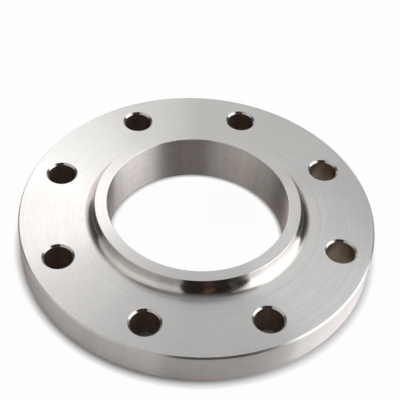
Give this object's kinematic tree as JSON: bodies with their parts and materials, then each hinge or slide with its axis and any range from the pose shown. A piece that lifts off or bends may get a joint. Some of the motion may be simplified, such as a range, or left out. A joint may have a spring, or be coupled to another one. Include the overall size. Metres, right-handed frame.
{
  "type": "slip-on pipe flange",
  "caption": "Round steel slip-on pipe flange with a short hub, a raised gasket face and a ring of chamfered bolt holes round a plain bore.",
  "frame": {"origin": "on the bore's axis, in the plane of the raised gasket face, which is also the centre of the part's lowest face", "axes": "+Z along the bore from the gasket face towards the hub's end; the bolt holes straddle the X and Y axes"},
  "size_m": [0.229, 0.229, 0.0333],
  "materials": {
    "steel": "fine turned stainless steel, bright, with concentric tool marks"
  },
  "bodies": {
    "root": {"flange": "steel"}
  },
  "joints": []
}
